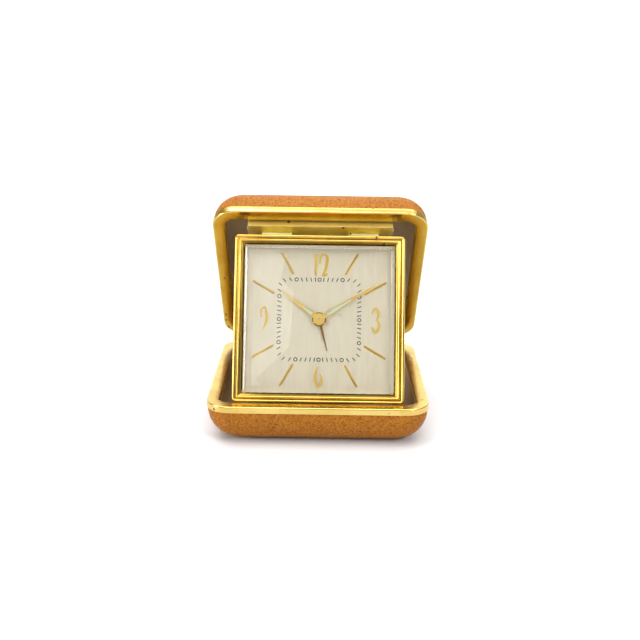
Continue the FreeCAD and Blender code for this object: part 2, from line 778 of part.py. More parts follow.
def spokes(body, name, low, inner, outer, count):
    """Crossed-out web: wedge windows repeated round the wheel."""
    lean = 0.55
    reach = outer * 0.62
    window = prism(body, name + "_window", low - 0.1, 1.0,
                   [polygon([(inner, -inner * 0.3), (reach, -reach * lean),
                             (outer * 0.98, 0), (reach, reach * lean),
                             (inner, inner * 0.3)])], cut=True)
    return pattern(body, name + "_windows", window, count)


def direction(a, b):
    return math.degrees(math.atan2(b[1] - a[1], b[0] - a[0]))


def facing(a, b, count):
    """Phase that puts a gap of wheel b toward wheel a."""
    return direction(b, a) + 180.0 / count


shaft_low = back_plate_top + 0.05
shaft_high = front_plate_top - plate_thick - 0.05
centre = (0, 0)

going_barrel = new_body("going_barrel")
teeth_ring(going_barrel, "going_ring", -3.6, 0.5, barrel_module, 66,
           direction(lower_left, centre))
prism(going_barrel, "going_drum", -5.8, 2.3, [circle(10.1)])
prism(going_barrel, "going_room", -5.5, 2.1, [circle(9.7)], cut=True)
prism(going_barrel, "going_hub", -5.8, 2.7, [circle(1.2 + run_gap)], cut=True)
node(going_barrel, CLOCK, *lower_left)

alarm_barrel = new_body("alarm_barrel")
teeth_ring(alarm_barrel, "alarm_ring", -3.6, 0.5, striking_module, 60,
           direction(alarm_barrel_at, striker_at))
prism(alarm_barrel, "alarm_drum", -5.8, 2.3, [circle(8.2)])
prism(alarm_barrel, "alarm_room", -5.5, 2.1, [circle(7.8)], cut=True)
prism(alarm_barrel, "alarm_hub", -5.8, 2.7, [circle(1.2 + run_gap)], cut=True)
node(alarm_barrel, CLOCK, *alarm_barrel_at)


def mainspring(label, outer, at):
    """Coiled strip inside a barrel, free of the drum wall and of the arbor."""
    coil = new_body(label)
    rings = []
    radius = outer
    while radius > 2.2:
        rings += [circle(radius), circle(radius - 0.25)]
        radius -= 0.6
    prism(coil, label + "_turns", -5.3, 1.5, rings)
    width = outer - 0.1 - 1.9
    bridge = [(1.9, -0.3), (1.9 + width, -0.3), (1.9 + width, 0.3), (1.9, 0.3)]
    prism(coil, label + "_tail", -5.3, 1.5, [polygon(bridge)])
    return node(coil, CLOCK, *at)


mainspring("going_mainspring", 9.6, lower_left)
mainspring("alarm_mainspring", 7.7, alarm_barrel_at)


wing_pin_at = -12.1


def winding_arbor(label, at):
    """Barrel arbor with hook collar, ratchet wheel and the slotted key boss at the back."""
    body = new_body(label + "_turned")
    prism(body, label + "_core", -12.0, 10.0 - 0.05, [circle(1.2)])
    prism(body, label + "_boss", -12.6, 1.7, [circle(2.6)])
    prism(body, label + "_ratchet", -9.5, 0.5, [circle(3.0)])
    tooth = prism(body, label + "_fang", -9.5, 0.5,
                  [polygon([(2.7, -0.5), (3.5, -0.1), (3.5, 0.05), (2.7, 0.25)])])
    pattern(body, label + "_fangs", tooth, 18)
    prism(body, label + "_slot", -12.7, 1.3,
          [polygon([(-3, -0.75), (3, -0.75), (3, 0.75), (-3, 0.75)])], cut=True)
    hole = rod(label + "_pin_hole", 0, -3, wing_pin_at, 0.3 + run_gap, 6, "Y")
    return node(cut(label, body, hole), CLOCK, *at)


def key_wing(label, at, reach):
    """Folding wing lying in the boss slot, hinged on a cross pin."""
    body = new_body(label + "_blade")
    prism(body, label + "_leaf", wing_pin_at - 0.45, 0.9,
          [polygon([(-0.65, -0.45), (0.65, -0.45), (0.65, 2.7), (2.2, 3.3), (2.2, reach),
                    (-2.2, reach), (-2.2, 3.3), (-0.65, 2.7)])], turn=-90)
    prism(body, label + "_eye", -12.7, 1.2, [circle(0.9, 0, 4.7)], cut=True, turn=-90)
    pin = rod(label + "_pin", 0, -2.3, wing_pin_at, 0.3, 4.6, "Y")
    return node(fuse(label, [body, pin]), CLOCK, *at)


winding_arbor("going_arbor", lower_left)
winding_arbor("alarm_barrel_arbor", alarm_barrel_at)
key_wing("going_key_wing", lower_left, 6.2)
key_wing("alarm_key_wing", alarm_barrel_at, 6.2)

centre_wheel = new_body("centre_wheel")
teeth_ring(centre_wheel, "centre_ring", -6.6, 0.3, centre_module, 64,
           direction(centre, third_at))
spokes(centre_wheel, "centre_web", -6.6, 2.6, 6.6, 5)
teeth_ring(centre_wheel, "centre_pinion", -3.7, 0.7, barrel_module, 10,
           facing(lower_left, centre, 10))
prism(centre_wheel, "centre_tube", -6.9, 3.6, [circle(1.0)])
prism(centre_wheel, "centre_bore", -7.0, 4.2, [circle(0.5 + run_gap)], cut=True)
node(centre_wheel, CLOCK)

third_wheel = new_body("third_wheel")
arbor(third_wheel, "third", shaft_low, shaft_high, 0.5)
teeth_ring(third_wheel, "third_ring", -4.4, 0.3, third_module, 60,
           direction(third_at, fourth_at))
spokes(third_wheel, "third_web", -4.4, 1.6, 5.4, 5)
teeth_ring(third_wheel, "third_pinion", -6.8, 0.7, centre_module, 8,
           facing(centre, third_at, 8))
node(third_wheel, CLOCK, *third_at)

fourth_wheel = new_body("fourth_wheel")
arbor(fourth_wheel, "fourth", shaft_low, shaft_high, 0.4)
teeth_ring(fourth_wheel, "fourth_ring", -5.3, 0.3, fourth_module, 70,
           direction(fourth_at, escape_at))
spokes(fourth_wheel, "fourth_web", -5.3, 1.5, 5.2, 5)
teeth_ring(fourth_wheel, "fourth_pinion", -4.7, 0.8, third_module, 8,
           facing(third_at, fourth_at, 8))
node(fourth_wheel, CLOCK, *fourth_at)

escape_wheel = new_body("escape_wheel")
arbor(escape_wheel, "escape", shaft_low, shaft_high, 0.35)
prism(escape_wheel, "escape_rim", -6.4, 0.3, [circle(3.5)])
escape_tooth = prism(escape_wheel, "escape_tooth", -6.4, 0.3,
                     [polygon([(3.3, -0.35), (4.4, 0.35), (4.45, 0.6), (3.3, 0.3)])])
pattern(escape_wheel, "escape_teeth", escape_tooth, 15)
teeth_ring(escape_wheel, "escape_pinion", -5.6, 0.8, fourth_module, 7,
           facing(fourth_at, escape_at, 7))
node(escape_wheel, CLOCK, *escape_at)

# Lever frame: +x runs from the lever's pivot toward the balance.
lever_turn = direction(pallet_at, balance_at)
lever = new_body("pallet_lever")
arbor(lever, "lever", shaft_low, shaft_high, 0.35)
prism(lever, "lever_arm", -6.45, 0.4,
      [polygon([(-0.6, -1.6), (0.6, -1.6), (0.5, -0.3), (4.6, -0.2), (5.4, -0.7), (5.4, -0.4),
                (4.9, 0), (5.4, 0.4), (5.4, 0.7), (4.6, 0.2), (0.5, 0.3), (0.6, 1.6),
                (-0.6, 1.6)])], turn=lever_turn)
node(lever, CLOCK, *pallet_at)

balance = new_body("balance_wheel")
arbor(balance, "balance", -8.6, shaft_high, 0.35, 0.22)
prism(balance, "balance_rim", -7.4, 0.5, [circle(5.0), circle(4.3)])
prism(balance, "balance_arm", -7.4, 0.5, [polygon([(-4.5, -0.4), (4.5, -0.4), (4.5, 0.4),
                                                   (-4.5, 0.4)])])
node(balance, CLOCK, *balance_at)

hairspring = new_body("hairspring")
hair_rings = []
for k in range(4):
    hair_rings += [circle(2.6 - 0.5 * k), circle(2.5 - 0.5 * k)]
prism(hairspring, "hair_turns", -7.95, 0.35, hair_rings)
prism(hairspring, "hair_stud", -7.95, 0.35, [polygon([(1.05, -0.15), (2.8, -0.15), (2.8, 0.15),
                                                      (1.05, 0.15)])])
prism(hairspring, "hair_post", -8.9, 1.2, [circle(0.25, 2.55, 0)])
node(hairspring, CLOCK, *balance_at)

cock = new_body("balance_cock")
prism(cock, "cock_bridge", -9.5, 0.7,
      [polygon([(-2.0, -2.2), (2.0, -2.2), (3.5, 2.0), (9.6, 1.0), (9.6, 6.0), (2.0, 6.6),
                (-2.0, 2.2)])])
prism(cock, "cock_boss", -9.95, 0.5, [circle(0.5)])
prism(cock, "cock_jewel", -10.0, 1.4, [circle(0.26)], cut=True)
prism(cock, "cock_stud", -8.95, 0.2, [circle(0.32, 2.55, 0)], cut=True)
node(cock, CLOCK, *balance_at)

regulator = new_body("regulator")
prism(regulator, "regulator_ring", -9.85, 0.3,
      [circle(1.6)])
prism(regulator, "regulator_pointer", -9.85, 0.3,
      [polygon([(-0.4, 1.2), (0.4, 1.2), (0.3, 6.2), (-0.3, 6.2)])])
prism(regulator, "regulator_eye", -9.9, 0.5, [circle(0.54)], cut=True)
prism(regulator, "regulator_tip", -10.9, 1.2, [circle(0.3, 0, 5.9)])
node(regulator, CLOCK, *balance_at)

# ---------------------------------------------------------------- motion work and hands
minute_arbor = new_body("centre_arbor")
prism(minute_arbor, "centre_shaft", -11.5, 11.5 + 1.25, [circle(0.5)])
teeth_ring(minute_arbor, "cannon_pinion", -1.8, 0.4, minute_module, 12,
           direction(centre, minute_at))
prism(minute_arbor, "cannon_tube", -1.5, 1.5 + 1.25, [circle(0.75)])
node(minute_arbor, CLOCK)

minute_wheel = new_body("minute_wheel")
teeth_ring(minute_wheel, "minute_ring", -1.75, 0.3, minute_module, 36,
           facing(centre, minute_at, 36))
teeth_ring(minute_wheel, "minute_pinion", -1.5, 0.65, hour_module, 10,
           direction(minute_at, centre))
prism(minute_wheel, "minute_post", -2.75, 1.1, [circle(0.3)])
node(minute_wheel, CLOCK, *minute_at)

hour_wheel = new_body("hour_wheel")
teeth_ring(hour_wheel, "hour_ring", -1.2, 0.3, hour_module, 40,
           facing(minute_at, centre, 40))
prism(hour_wheel, "hour_tube", -1.2, 1.2 + 0.8, [circle(1.1)])
prism(hour_wheel, "hour_bore", -1.3, 2.3, [circle(0.75 + run_gap)], cut=True)
node(hour_wheel, CLOCK)

alarm_disc = new_body("alarm_disc")
teeth_ring(alarm_disc, "alarm_teeth", -0.75, 0.25, alarm_module, 60,
           direction(centre, setting_at))
prism(alarm_disc, "alarm_tube", -0.75, 0.75 + 0.35, [circle(1.5)])
prism(alarm_disc, "alarm_bore", -0.8, 1.4, [circle(1.1 + run_gap)], cut=True)
node(alarm_disc, CLOCK)

setting = new_body("alarm_setting_arbor")
prism(setting, "setting_shaft", -11.5, 11.0, [circle(0.66)])
teeth_ring(setting, "setting_pinion", -0.8, 0.35, alarm_module, 15,
           facing(centre, setting_at, 15))
node(setting, CLOCK, *setting_at)


def knob(label, at, radius, bore):
    """Small fluted knob pressed on the end of its arbor."""
    body = new_body(label)
    blank = prism(body, label + "_blank", -12.9, 1.95, [circle(radius)])
    soften(body, label + "_edge", blank, -12.9, 0.3)
    flute = prism(body, label + "_flute", -13.0, 2.2, [circle(0.22, radius + 0.08, 0)], cut=True)
    pattern(body, label + "_flutes", flute, 24)
    prism(body, label + "_socket", -11.5, 1.0, [circle(bore)], cut=True)
    return node(body, CLOCK, *at)


knob("time_knob", centre, 3.2, 0.5)
knob("alarm_knob", setting_at, 3.2, 0.66)


def hand(label, low, thick, reach, width, tail, hub, bore, heading, window):
    """Flat pointed hand with a slim tail, round hub and a slot for its luminous filling."""
    body = new_body(label)
    half = width / 2
    prism(body, label + "_blade", low, thick,
          [polygon([(-tail, 0), (0, -half * 0.9), (reach * 0.2, -half), (reach, -0.12),
                    (reach, 0.12), (reach * 0.2, half), (0, half * 0.9)])], turn=heading)
    prism(body, label + "_hub", low, thick, [circle(hub)])
    prism(body, label + "_bore", low - 0.1, thick + 0.2, [circle(bore)], cut=True)
    if window is not None:
        prism(body, label + "_window", low - 0.1, thick + 0.2,
              [polygon(slot_points(window, half))], cut=True, turn=heading)
    return body


def slot_points(window, half):
    start, end = window
    wide = half * 0.66
    slim = half * 0.22
    return [(start, -wide), (end, -slim), (end, slim), (start, wide)]


def lume(label, low, thick, width, heading, window):
    body = new_body(label)
    prism(body, label + "_fill", low, thick, [polygon(slot_points(window, width / 2))],
          turn=heading)
    return node(body, CLOCK)


minute_heading = 32
hour_heading = 143
alarm_heading = -75
minute_window = (3.0, 12.2)
hour_window = (3.0, 6.8)
hand_width = 1.7
node(hand("alarm_hand", 0.35, 0.2, alarm_reach, 0.9, 2.9, 2.3, 1.1 + run_gap, alarm_heading,
          None), CLOCK)
node(hand("hour_hand", 0.8, 0.2, hour_reach, hand_width, 3.4, 1.9, 0.75 + run_gap, hour_heading,
          hour_window), CLOCK)
minute_hand = hand("minute_hand", 1.25, 0.2, minute_reach, hand_width, 3.4, 1.9, 0.3,
                   minute_heading, minute_window)
prism(minute_hand, "minute_cap", 1.25, 0.7, [circle(1.9)])
prism(minute_hand, "minute_pinhole", 1.2, 1.0, [circle(0.3)], cut=True)
node(minute_hand, CLOCK)
lume("hour_lume", 0.85, 0.1, hand_width, hour_heading, hour_window)
lume("minute_lume", 1.3, 0.1, hand_width, minute_heading, minute_window)

# ---------------------------------------------------------------- alarm striking work
striker = new_body("striking_wheel")
arbor(striker, "striker", shaft_low, shaft_high, 0.45)
prism(striker, "striker_rim", -6.6, 0.4, [circle(3.3)])
striker_tooth = prism(striker, "striker_tooth", -6.6, 0.4,
                      [polygon([(3.1, -0.3), (4.0, 0), (3.1, 0.3)])])
pattern(striker, "striker_teeth", striker_tooth, 20)
teeth_ring(striker, "striker_pinion", -3.7, 0.7, striking_module, 8,
           facing(alarm_barrel_at, striker_at, 8))
node(striker, CLOCK, *striker_at)

hammer = new_body("alarm_hammer")
arbor(hammer, "hammer", shaft_low, shaft_high, 0.45)
prism(hammer, "hammer_arm", -6.5, 0.4,
      [polygon([(-1.9, -1.6), (-1.3, -1.9), (0.5, 0.4), (-1.6, 8.4), (-2.4, 8.2), (-0.5, 0.3)])])
prism(hammer, "hammer_head", -7.4, 2.0, [circle(1.2, -2.2, 8.4)])
node(hammer, CLOCK, *hammer_at)
node(fuse("gong_stud", [rod("gong_foot", *gong_at, -10.2, 1.8, 0.6),
                        rod("gong_post", *gong_at, -10.2, 1.1, 4.2)]), CLOCK)

# ---------------------------------------------------------------- write every node
doc.recompute()
os.makedirs("parts", exist_ok=True)
for item in doc.Objects:
    if "Invalid" in item.State or "Error" in item.State:
        raise RuntimeError("feature failed: " + item.Name)
for item in nodes:
    if item.Shape.isNull() or not item.Shape.isValid():
        raise RuntimeError("bad shape: " + item.Label)
    item.Shape.exportStep("parts/" + item.Label + ".step")
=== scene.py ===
import json
import math

import bpy
from mathutils import Matrix, Vector


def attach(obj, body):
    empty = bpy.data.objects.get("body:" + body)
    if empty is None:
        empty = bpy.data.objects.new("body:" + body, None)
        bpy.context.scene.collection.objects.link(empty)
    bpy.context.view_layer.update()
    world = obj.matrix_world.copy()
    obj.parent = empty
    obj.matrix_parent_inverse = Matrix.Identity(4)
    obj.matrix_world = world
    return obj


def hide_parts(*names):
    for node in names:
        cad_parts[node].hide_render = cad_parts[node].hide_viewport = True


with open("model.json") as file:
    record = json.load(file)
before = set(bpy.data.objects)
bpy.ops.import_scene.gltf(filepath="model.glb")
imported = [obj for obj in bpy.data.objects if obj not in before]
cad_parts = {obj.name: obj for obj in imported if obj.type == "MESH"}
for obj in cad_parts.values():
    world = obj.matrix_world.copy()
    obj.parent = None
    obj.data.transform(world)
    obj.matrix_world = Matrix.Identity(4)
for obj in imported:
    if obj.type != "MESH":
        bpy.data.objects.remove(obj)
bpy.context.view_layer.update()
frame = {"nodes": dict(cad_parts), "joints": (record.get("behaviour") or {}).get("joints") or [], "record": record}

MM = 0.001
joints = {j["name"]: j for j in frame["joints"]}


# ---------------------------------------------------------------- frames
def joint_point(name):
    return Vector(joints[name]["pos_m"]) / MM


# The hands' joint point lies this far behind the dial's front surface, where heights start.
HAND_JOINT_DEPTH = 5.4
hand_joint = joints["minute_hand_turn"]
toward_viewer = -Vector(hand_joint["axis"])
dial_centre = joint_point("minute_hand_turn") + toward_viewer * HAND_JOINT_DEPTH
dial_up = toward_viewer.cross(Vector((1, 0, 0)))
FACE = Matrix((
    (1, dial_up.x, toward_viewer.x, dial_centre.x),
    (0, dial_up.y, toward_viewer.y, dial_centre.y),
    (0, dial_up.z, toward_viewer.z, dial_centre.z),
    (0, 0, 0, 1)))
case_hinge = joint_point("lid_hinge")
LID_ANGLE = math.radians(51.28)
HALF_HEIGHT = 13.5
CASE_WIDTH, CASE_DEPTH, CASE_CORNER = 72.0, 71.5, 8.0
BEZEL_WIDTH, BEZEL_HEIGHT, BEZEL_CORNER = 55.6, 54.8, 1.3
CRYSTAL_WIDTH, CRYSTAL_HEIGHT, CRYSTAL_CORNER = 49.8, 49.0, 0.9
BASE = Matrix.Identity(4)
LID = (Matrix.Translation(case_hinge) @ Matrix.Rotation(-LID_ANGLE, 4, "X")
       @ Matrix.Translation((0, -case_hinge.y, 0)) @ Matrix.Rotation(math.pi, 4, "Y")
       @ Matrix.Translation((0, 0, -HALF_HEIGHT)))


# ---------------------------------------------------------------- node materials
class Shader:
    """A Principled material with short calls for the nodes it needs."""

    def __init__(self, name, color, rough, metal=0.0, **sockets):
        self.mat = bpy.data.materials.new(name)
        self.mat.use_nodes = True
        self.tree = self.mat.node_tree
        self.bsdf = self.tree.nodes["Principled BSDF"]
        self.set("Base Color", (*color, 1.0))
        self.set("Roughness", rough)
        self.set("Metallic", metal)
        for key, value in sockets.items():
            self.set(key.replace("_", " "), value)
        self.coord = self.tree.nodes.new("ShaderNodeTexCoord").outputs["Object"]
        self.bump_in = None

    def set(self, socket, value):
        self.bsdf.inputs[socket].default_value = value

    def link(self, source, target):
        self.tree.links.new(source, target)

    def scaled(self, stretch):
        node = self.tree.nodes.new("ShaderNodeMapping")
        node.inputs["Scale"].default_value = stretch
        self.link(self.coord, node.inputs["Vector"])
        return node.outputs["Vector"]

    def noise(self, scale, detail=4.0, rough=0.55, stretch=None):
        node = self.tree.nodes.new("ShaderNodeTexNoise")
        node.inputs["Scale"].default_value = scale
        node.inputs["Detail"].default_value = detail
        node.inputs["Roughness"].default_value = rough
        self.link(self.coord if stretch is None else self.scaled(stretch), node.inputs["Vector"])
        return node.outputs["Fac"]

    def cells(self, scale, feature="F1", warp=0.0):
        node = self.tree.nodes.new("ShaderNodeTexVoronoi")
        node.feature = feature
        node.inputs["Scale"].default_value = scale
        if warp:
            wobble = self.tree.nodes.new("ShaderNodeTexNoise")
            wobble.inputs["Scale"].default_value = scale * 0.7
            self.link(self.coord, wobble.inputs["Vector"])
            mix = self.tree.nodes.new("ShaderNodeVectorMath")
            mix.operation = "MULTIPLY_ADD"
            mix.inputs[1].default_value = (warp, warp, warp)
            self.link(wobble.outputs["Color"], mix.inputs[0])
            self.link(self.coord, mix.inputs[2])
            self.link(mix.outputs[0], node.inputs["Vector"])
        else:
            self.link(self.coord, node.inputs["Vector"])
        return node.outputs["Distance"]

    def mask(self, source, low, high):
        node = self.tree.nodes.new("ShaderNodeMapRange")
        node.inputs["From Min"].default_value = low
        node.inputs["From Max"].default_value = high
        self.link(source, node.inputs["Value"])
        return node.outputs["Result"]

    def mix(self, factor, first, second, mode="MIX"):
        node = self.tree.nodes.new("ShaderNodeMix")
        node.data_type = "RGBA"
        node.blend_type = mode
        for socket, value in (("Factor", factor), ("A", first), ("B", second)):
            target = [s for s in node.inputs if s.name == socket
                      and s.type == ("VALUE" if socket == "Factor" else "RGBA")][0]
            if isinstance(value, (int, float)):
                target.default_value = value
            elif isinstance(value, tuple):
                target.default_value = (*value, 1.0)
            else:
                self.link(value, target)
        return [s for s in node.outputs if s.type == "RGBA"][0]

    def bump(self, height, strength, distance):
        node = self.tree.nodes.new("ShaderNodeBump")
        node.inputs["Strength"].default_value = strength
        node.inputs["Distance"].default_value = distance
        self.link(height, node.inputs["Height"])
        if self.bump_in is not None:
            self.link(self.bump_in, node.inputs["Normal"])
        self.bump_in = node.outputs["Normal"]
        self.link(self.bump_in, self.bsdf.inputs["Normal"])

    def color(self, source):
        self.link(source, self.bsdf.inputs["Base Color"])

    def rough(self, source, low, high):
        node = self.tree.nodes.new("ShaderNodeMapRange")
        node.inputs["To Min"].default_value = low
        node.inputs["To Max"].default_value = high
        self.link(source, node.inputs["Value"])
        self.link(node.outputs["Result"], self.bsdf.inputs["Roughness"])


def brass(name, tone, rough, wear=0.5, pits=0.0, brush=None):
    """Yellow brass with cloudy tarnish, hairline scratches and, where asked, dark pits."""
    shader = Shader(name, tone, rough, metal=1.0)
    cloud = shader.noise(90, 6, 0.6)
    dull = tuple(c * f for c, f in zip(tone, (0.78, 0.68, 0.45)))
    tint = shader.mix(shader.mask(cloud, 0.42, 0.75), tone, dull)
    if pits:
        spot = shader.cells(300, warp=0.0015)
        rare = shader.noise(170, 2, 0.5)
        hole = shader.mask(spot, 0.19, 0.10)
        where = shader.mask(rare, 0.62 - 0.1 * pits, 0.66 - 0.1 * pits)
        both = shader.mix(1.0, hole, where, "MULTIPLY")
        tint = shader.mix(both, tint, (0.09, 0.05, 0.02))
        shader.bump(both, 0.4, -0.0001)
    shader.color(tint)
    shader.rough(cloud, max(0.03, rough - 0.08), rough + 0.22 * wear)
    grain = shader.noise(1500, 3, 0.6, stretch=brush or (1, 1, 1))
    shader.bump(grain, 0.08 * wear, 0.00005)
    return shader.mat


def leatherette(name):
    """Fine pebbled tan leathercloth: rounded grains with creases darkened by painted shade, and a soft gloss."""
    shader = Shader(name, (0.38, 0.14, 0.015), 0.6, Specular_IOR_Level=0.12)
    pebble = shader.cells(1700, "SMOOTH_F1", warp=0.0005)
    crease_and_shade = shader.mask(pebble, 0.78, 0.12)
    blotch = shader.noise(140, 5, 0.6)
    fine = shader.noise(2600, 3, 0.6)
    body = shader.mix(shader.mask(blotch, 0.35, 0.7), (0.42, 0.150, 0.010), (0.31, 0.100, 0.006))
    body = shader.mix(shader.mask(fine, 0.35, 0.8), body, (0.60, 0.26, 0.032))
    # The dark colour in the creases between grains is painted shade; the same mask also drives the grain relief.
    shader.color(shader.mix(crease_and_shade, (0.19, 0.055, 0.004), body))
    shader.rough(blotch, 0.42, 0.6)
    shader.bump(crease_and_shade, 0.8, 0.00025)
    shader.bump(fine, 0.25, 0.00006)
    return shader.mat


def flock(name):
    """Short-pile brown lining with worn, lighter patches."""
    shader = Shader(name, (0.22, 0.13, 0.06), 0.92, Sheen_Weight=0.6, Sheen_Roughness=0.4)
    shader.set("Sheen Tint", (0.85, 0.70, 0.50, 1.0))
    pile = shader.noise(4200, 4, 0.7)
    nap = shader.noise(60, 4, 0.5, stretch=(1, 2.2, 1))
    tone = shader.mix(shader.mask(nap, 0.3, 0.7), (0.27, 0.185, 0.105), (0.38, 0.27, 0.165))
    shader.color(shader.mix(shader.mask(pile, 0.3, 0.7), tone, (0.44, 0.33, 0.21)))
    shader.bump(pile, 0.5, 0.00012)
    return shader.mat


def steel(name, tone, rough):
    """Brushed steel with fine lines running across X."""
    shader = Shader(name, tone, rough, metal=1.0)
    line = shader.noise(2200, 3, 0.6, stretch=(1, 0.15, 0.15))
    shader.rough(line, rough - 0.06, rough + 0.15)
    shader.bump(line, 0.12, 0.00004)
    return shader.mat


def dial_paint(name):
    """Champagne dial enamel with a faint silky grain and slight ageing."""
    shader = Shader(name, (0.80, 0.74, 0.58), 0.38, Specular_IOR_Level=0.4)
    silk = shader.noise(900, 3, 0.6, stretch=(1, 0.12, 0.12))
    age = shader.noise(45, 4, 0.6)
    tone = shader.mix(shader.mask(age, 0.3, 0.75), (0.83, 0.77, 0.61), (0.76, 0.69, 0.52))
    shader.color(shader.mix(shader.mask(silk, 0.3, 0.8), tone, (0.86, 0.81, 0.67)))
    shader.rough(silk, 0.32, 0.48)
    shader.bump(silk, 0.06, 0.00004)
    return shader.mat


def lume(name):
    """Pale green luminous filling with a gritty surface."""
    shader = Shader(name, (0.62, 0.78, 0.62), 0.7)
    grit = shader.noise(3500, 4, 0.7)
    shader.color(shader.mix(shader.mask(grit, 0.3, 0.7), (0.56, 0.74, 0.58), (0.72, 0.84, 0.70)))
    shader.bump(grit, 0.4, 0.00005)
    return shader.mat


def print_ink(name):
    """Dark dial print, slightly faded in places."""
    shader = Shader(name, (0.05, 0.048, 0.03), 0.55)
    fade = shader.noise(1400, 3, 0.6)
    shader.color(shader.mix(shader.mask(fade, 0.35, 0.75), (0.035, 0.033, 0.022), (0.09, 0.085, 0.055)))
    return shader.mat


def glass(name):
    """Clear acrylic with faint hairlines."""
    shader = Shader(name, (0.985, 0.98, 0.955), 0.0, Transmission_Weight=1.0, IOR=1.49)
    haze = shader.noise(500, 4, 0.6, stretch=(1, 0.2, 0.2))
    shader.rough(shader.mask(haze, 0.6, 0.85), 0.0, 0.04)
    return shader.mat


rim_brass = brass("rim_brass_worn", (0.71, 0.52, 0.165), 0.12, wear=0.5, pits=0.9)
# Darker, more orange flange brass than the band: painted shade for the dark reflections the flange picks up; its
# pits and wear are the metal's own.
painted_shade_flange_brass = brass("flange_brass_worn_painted_shade", (0.60, 0.40, 0.06), 0.16, wear=0.8, pits=1.5)
# Paler, brighter hinge brass than the rim brass: painted light on the hinge strip and ears.
hinge_brass = brass("hinge_brass_worn_painted_light", (1.0, 0.93, 0.46), 0.36, wear=0.6, pits=0.9)
# Darker bezel brass than the rim brass: painted shade for the bezel's darker lower and right sides.
bezel_brass = brass("bezel_brass_polished_painted_shade", (0.67, 0.46, 0.11), 0.06, wear=0.3, pits=0.3)
gilt = brass("applied_gilt", (0.94, 0.68, 0.17), 0.34, wear=0.25)
hand_gilt = brass("hand_gilt_fine", (0.94, 0.68, 0.19), 0.34, wear=0.3)
alarm_brass = brass("alarm_hand_bronze", (0.36, 0.20, 0.06), 0.35, wear=0.3)
housing_brass = brass("housing_brass_satin", (0.78, 0.60, 0.26), 0.34, wear=0.6,
                      brush=(1, 0.08, 0.08))
knob_brass = brass("knob_brass_turned", (0.84, 0.62, 0.24), 0.26, wear=0.5)
plate_brass = brass("plate_brass_grained", (0.82, 0.66, 0.34), 0.32, wear=0.4,
                    brush=(1, 0.08, 0.08))
wheel_brass = brass("wheel_brass_cut", (0.84, 0.66, 0.30), 0.28, wear=0.4)
tan = leatherette("tan_leathercloth")
lining = flock("brown_flock")
grey_steel = steel("shell_steel_raw", (0.50, 0.50, 0.52), 0.38)
screw_steel = steel("screw_steel_polished", (0.60, 0.60, 0.62), 0.25)
blue_steel = steel("spring_steel_dark", (0.26, 0.28, 0.34), 0.3)
cream = dial_paint("champagne_dial")
lume_mat = lume("pale_green_lume")
ink = print_ink("dial_ink")
clear = glass("clear_crystal")

BY_SLOT = {
    "tan_leather": tan, "brown_lining": lining, "shell_steel": grey_steel,
    "rim_brass": rim_brass, "hinge_brass": hinge_brass, "bezel_brass": bezel_brass,
    "crystal_glass": clear, "dial_paint": cream, "dial_gilt": gilt,
    "housing_brass": housing_brass, "hand_gilt": hand_gilt, "alarm_hand_brass": alarm_brass,
    "pale_lume": lume_mat, "screw_steel": screw_steel, "plate_brass": plate_brass,
    "wheel_brass": wheel_brass, "spring_steel": blue_steel, "knob_brass": knob_brass}
ROUNDED = {"dial_numerals": 0.1, "dial_batons": 0.05, "hour_hand": 0.06, "minute_hand": 0.06,
           "alarm_hand": 0.05, "clock_hinge_strip": 0.12, "clock_hinge_ear": 0.1}
for entry in frame["record"]["subparts"]:
    obj = frame["nodes"][entry["node"]]
    for place in obj.material_slots:
        place.material = BY_SLOT[entry["material_slot"]]
    if entry["node"] in ROUNDED:
        bevel = obj.modifiers.new("edge", "BEVEL")
        bevel.width = ROUNDED[entry["node"]] * MM
        bevel.segments = 3
        bevel.limit_method = "ANGLE"
        bevel.angle_limit = math.radians(35)


# ---------------------------------------------------------------- mesh helpers
def make_piece(name, verts, faces, material, body, matrix=FACE, smooth=True):
    """Mesh from millimetre points in a local frame, riding on a CAD body."""
    mesh = bpy.data.meshes.new(name)
    mesh.from_pydata([(matrix @ Vector(v)) * MM for v in verts], [], faces)
    mesh.validate()
    mesh.update()
    piece = bpy.data.objects.new(name, mesh)
    bpy.context.scene.collection.objects.link(piece)
    mesh.materials.append(material)
    for poly in mesh.polygons:
        poly.use_smooth = smooth
    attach(piece, body)
    return piece


def rounded_loop(width, depth, corner, steps=8):
    """Points of a rounded rectangle, anticlockwise, the same count for any size."""
    points = []
    corner = max(corner, 0.02)
    x, y = width / 2 - corner, depth / 2 - corner
    for k, (cx, cy) in enumerate(((x, -y), (x, y), (-x, y), (-x, -y))):
        for i in range(steps + 1):
            a = math.radians(-90 + 90 * k + 90 * i / steps)
            points.append((cx + corner * math.cos(a), cy + corner * math.sin(a)))
    return points


def frame_sweep(width, depth, corner, profile, closed=True):
    """Run an (inset, height) profile round a rounded rectangle."""
    verts, faces = [], []
    loops = [rounded_loop(width - 2 * i, depth - 2 * i, corner - i) for i, _ in profile]
    count = len(loops[0])
    for (_, z), loop in zip(profile, loops):
        verts += [(x, y, z) for x, y in loop]
    rows = len(profile) if closed else len(profile) - 1
    for r in range(rows):
        a, b = r * count, ((r + 1) % len(profile)) * count
        for i in range(count):
            j = (i + 1) % count
            faces.append((a + i, a + j, b + j, b + i))
    return verts, faces


